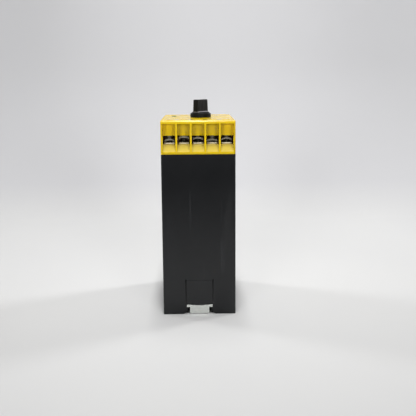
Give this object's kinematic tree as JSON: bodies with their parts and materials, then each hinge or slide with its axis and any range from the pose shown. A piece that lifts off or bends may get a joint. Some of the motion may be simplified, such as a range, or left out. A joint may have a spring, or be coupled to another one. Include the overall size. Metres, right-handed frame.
{
  "type": "time delay module",
  "caption": "Tall narrow rail-mounted time delay module: black box housing, yellow front cover with screw terminals on both wire sides, and a bar knob that sets the delay.",
  "frame": {"origin": "middle of the footprint on the plane of the rail-side feet", "axes": "+X along the mounting rail, +Y from the shown wire side to the other one, +Z from rail to front"},
  "size_m": [0.045, 0.075, 0.1318],
  "materials": {
    "housing_black": "fine moulded grain",
    "cover_yellow": "satin moulding",
    "latch_zinc": "zinc plated, matt",
    "spring_steel": "drawn wire",
    "knob_black": "matt moulding",
    "shaft_steel": "turned",
    "pot_blue": "moulded",
    "lamp_green": "clear tinted lens, unlit",
    "spacer_white": "moulded",
    "board_green": "solder mask",
    "chip_black": "moulded",
    "can_sleeve": "shrunk sleeve",
    "film_red": "dipped",
    "resistor_beige": "lacquered",
    "relay_grey": "moulded",
    "contact_tin": "tin plated",
    "clamp_steel": "nickel plated",
    "screw_steel": "nickel plated"
  },
  "bodies": {
    "module": {"housing": "housing_black", "front_cover": "cover_yellow", "latch_spring": "spring_steel", "status_lamp": "lamp_green", "terminal_board": "board_green", "main_board": "board_green", "board_header": "chip_black", "storage_capacitor": "can_sleeve", "film_capacitor": "film_red", "timer_chip": "chip_black", "resistors": "resistor_beige", "diodes": "chip_black", "relay_1": "relay_grey", "relay_2": "relay_grey", "potentiometer": "pot_blue", "lamp_spacer": "spacer_white", "contact_plate_a1": "contact_tin", "contact_plate_a2": "contact_tin", "contact_plate_a3": "contact_tin", "contact_plate_a4": "contact_tin", "contact_plate_a5": "contact_tin", "contact_plate_b1": "contact_tin", "contact_plate_b2": "contact_tin", "contact_plate_b3": "contact_tin", "contact_plate_b4": "contact_tin", "contact_plate_b5": "contact_tin"},
    "knob": {"knob": "knob_black", "pot_shaft": "shaft_steel"},
    "latch": {"rail_latch": "latch_zinc"},
    "clamp_a1": {"clamp_plate_a1": "clamp_steel"},
    "screw_a1": {"terminal_screw_a1": "screw_steel"},
    "clamp_a2": {"clamp_plate_a2": "clamp_steel"},
    "screw_a2": {"terminal_screw_a2": "screw_steel"},
    "clamp_a3": {"clamp_plate_a3": "clamp_steel"},
    "screw_a3": {"terminal_screw_a3": "screw_steel"},
    "clamp_a4": {"clamp_plate_a4": "clamp_steel"},
    "screw_a4": {"terminal_screw_a4": "screw_steel"},
    "clamp_a5": {"clamp_plate_a5": "clamp_steel"},
    "screw_a5": {"terminal_screw_a5": "screw_steel"},
    "clamp_b1": {"clamp_plate_b1": "clamp_steel"},
    "screw_b1": {"terminal_screw_b1": "screw_steel"},
    "clamp_b2": {"clamp_plate_b2": "clamp_steel"},
    "screw_b2": {"terminal_screw_b2": "screw_steel"},
    "clamp_b3": {"clamp_plate_b3": "clamp_steel"},
    "screw_b3": {"terminal_screw_b3": "screw_steel"},
    "clamp_b4": {"clamp_plate_b4": "clamp_steel"},
    "screw_b4": {"terminal_screw_b4": "screw_steel"},
    "clamp_b5": {"clamp_plate_b5": "clamp_steel"},
    "screw_b5": {"terminal_screw_b5": "screw_steel"}
  },
  "joints": [
    {"name": "knob_turn", "type": "hinge", "parent": "module", "child": "knob", "pos_m": [0.00195, 0, 0.1203], "axis": [0, 0, -1], "range_deg": [0, 280]},
    {"name": "latch_slide", "type": "slide", "parent": "module", "child": "latch", "axis": [0, -1, 0], "range_m": [0, 0.003], "stiffness_N_per_m": 600, "springref_m": -0.006, "deforming": ["latch_spring"]},
    {"name": "clamp_a1_lift", "type": "slide", "parent": "module", "child": "clamp_a1", "axis": [0, 0, 1], "range_m": [-0.0002, 0.0016]},
    {"name": "screw_a1_turn", "type": "hinge", "parent": "clamp_a1", "child": "screw_a1", "pos_m": [-0.01736, -0.0268, 0.1091], "axis": [0, 0, 1], "range_deg": [-145, 1153]},
    {"name": "clamp_a2_lift", "type": "slide", "parent": "module", "child": "clamp_a2", "axis": [0, 0, 1], "range_m": [-0.0017, 0.0001]},
    {"name": "screw_a2_turn", "type": "hinge", "parent": "clamp_a2", "child": "screw_a2", "pos_m": [-0.00868, -0.0268, 0.1106], "axis": [0, 0, 1], "range_deg": [-1225, 73]},
    {"name": "clamp_a3_lift", "type": "slide", "parent": "module", "child": "clamp_a3", "axis": [0, 0, 1], "range_m": [-0.0011, 0.0007]},
    {"name": "screw_a3_turn", "type": "hinge", "parent": "clamp_a3", "child": "screw_a3", "pos_m": [0, -0.0268, 0.11], "axis": [0, 0, 1], "range_deg": [-793, 505]},
    {"name": "clamp_a4_lift", "type": "slide", "parent": "module", "child": "clamp_a4", "axis": [0, 0, 1], "range_m": [0, 0.0018]},
    {"name": "screw_a4_turn", "type": "hinge", "parent": "clamp_a4", "child": "screw_a4", "pos_m": [0.00868, -0.0268, 0.1089], "axis": [0, 0, 1], "range_deg": [-1, 1297]},
    {"name": "clamp_a5_lift", "type": "slide", "parent": "module", "child": "clamp_a5", "axis": [0, 0, 1], "range_m": [-0.0008, 0.001]},
    {"name": "screw_a5_turn", "type": "hinge", "parent": "clamp_a5", "child": "screw_a5", "pos_m": [0.01736, -0.0268, 0.1097], "axis": [0, 0, 1], "range_deg": [-577, 721]},
    {"name": "clamp_b1_lift", "type": "slide", "parent": "module", "child": "clamp_b1", "axis": [0, 0, 1], "range_m": [0, 0.0018]},
    {"name": "screw_b1_turn", "type": "hinge", "parent": "clamp_b1", "child": "screw_b1", "pos_m": [0.01736, 0.0268, 0.1089], "axis": [0, 0, 1], "range_deg": [-1, 1297]},
    {"name": "clamp_b2_lift", "type": "slide", "parent": "module", "child": "clamp_b2", "axis": [0, 0, 1], "range_m": [0, 0.0018]},
    {"name": "screw_b2_turn", "type": "hinge", "parent": "clamp_b2", "child": "screw_b2", "pos_m": [0.00868, 0.0268, 0.1089], "axis": [0, 0, 1], "range_deg": [-1, 1297]},
    {"name": "clamp_b3_lift", "type": "slide", "parent": "module", "child": "clamp_b3", "axis": [0, 0, 1], "range_m": [0, 0.0018]},
    {"name": "screw_b3_turn", "type": "hinge", "parent": "clamp_b3", "child": "screw_b3", "pos_m": [0, 0.0268, 0.1089], "axis": [0, 0, 1], "range_deg": [-1, 1297]},
    {"name": "clamp_b4_lift", "type": "slide", "parent": "module", "child": "clamp_b4", "axis": [0, 0, 1], "range_m": [0, 0.0018]},
    {"name": "screw_b4_turn", "type": "hinge", "parent": "clamp_b4", "child": "screw_b4", "pos_m": [-0.00868, 0.0268, 0.1089], "axis": [0, 0, 1], "range_deg": [-1, 1297]},
    {"name": "clamp_b5_lift", "type": "slide", "parent": "module", "child": "clamp_b5", "axis": [0, 0, 1], "range_m": [0, 0.0018]},
    {"name": "screw_b5_turn", "type": "hinge", "parent": "clamp_b5", "child": "screw_b5", "pos_m": [-0.01736, 0.0268, 0.1089], "axis": [0, 0, 1], "range_deg": [-1, 1297]}
  ],
  "couplings": [
    {"joint": "screw_a1_turn", "follows": "clamp_a1_lift", "rad_per_m": 12566},
    {"joint": "screw_a2_turn", "follows": "clamp_a2_lift", "rad_per_m": 12566},
    {"joint": "screw_a3_turn", "follows": "clamp_a3_lift", "rad_per_m": 12566},
    {"joint": "screw_a4_turn", "follows": "clamp_a4_lift", "rad_per_m": 12566},
    {"joint": "screw_a5_turn", "follows": "clamp_a5_lift", "rad_per_m": 12566},
    {"joint": "screw_b1_turn", "follows": "clamp_b1_lift", "rad_per_m": 12566},
    {"joint": "screw_b2_turn", "follows": "clamp_b2_lift", "rad_per_m": 12566},
    {"joint": "screw_b3_turn", "follows": "clamp_b3_lift", "rad_per_m": 12566},
    {"joint": "screw_b4_turn", "follows": "clamp_b4_lift", "rad_per_m": 12566},
    {"joint": "screw_b5_turn", "follows": "clamp_b5_lift", "rad_per_m": 12566}
  ]
}
